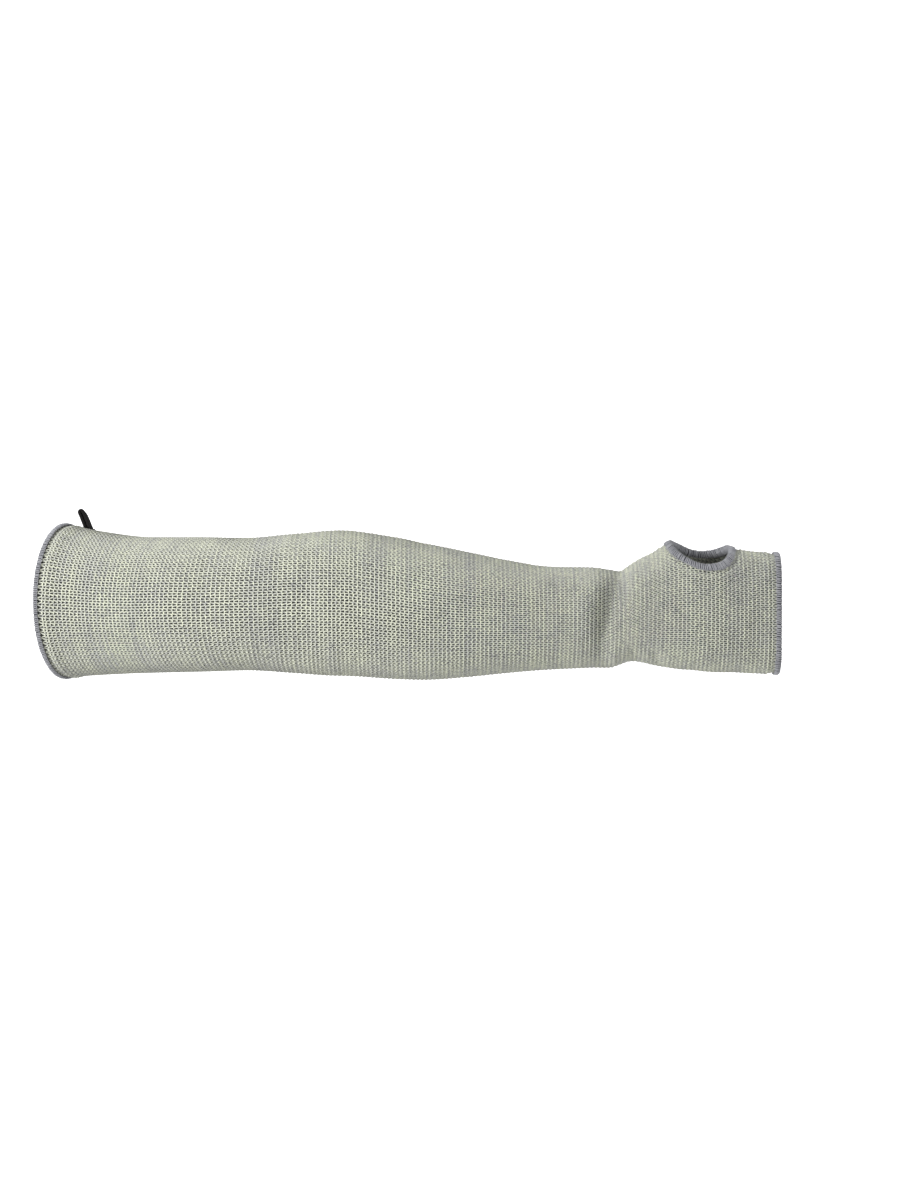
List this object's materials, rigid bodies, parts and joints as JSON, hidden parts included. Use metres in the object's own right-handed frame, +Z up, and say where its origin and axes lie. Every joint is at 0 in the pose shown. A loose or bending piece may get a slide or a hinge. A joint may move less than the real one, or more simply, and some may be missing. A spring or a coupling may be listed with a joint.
{
  "type": "cut resistant sleeve with thumb hole",
  "caption": "Knitted protective arm sleeve in its worn form, open at the upper arm, the fingers and the thumb, with overlocked edges and a pull tab.",
  "frame": {"origin": "the middle of the arm opening, where the sleeve is held open round the upper arm", "axes": "+X along the forearm from the elbow to the fingers, +Z up on the thumb's side, -Y out of the palm"},
  "size_m": [0.517, 0.135, 0.1223],
  "materials": {
    "knit": "coarse seamless knit, reverse side out, in a heather of pale green, cream and grey yarn",
    "binding": "blue-grey textured overlock thread, close ribs",
    "tab": "black woven tape, matte"
  },
  "bodies": {
    "root": {"knit_sleeve": "knit", "arm_opening_binding": "binding", "finger_opening_binding": "binding", "thumb_hole_binding": "binding", "pull_tab": "tab"}
  },
  "joints": []
}
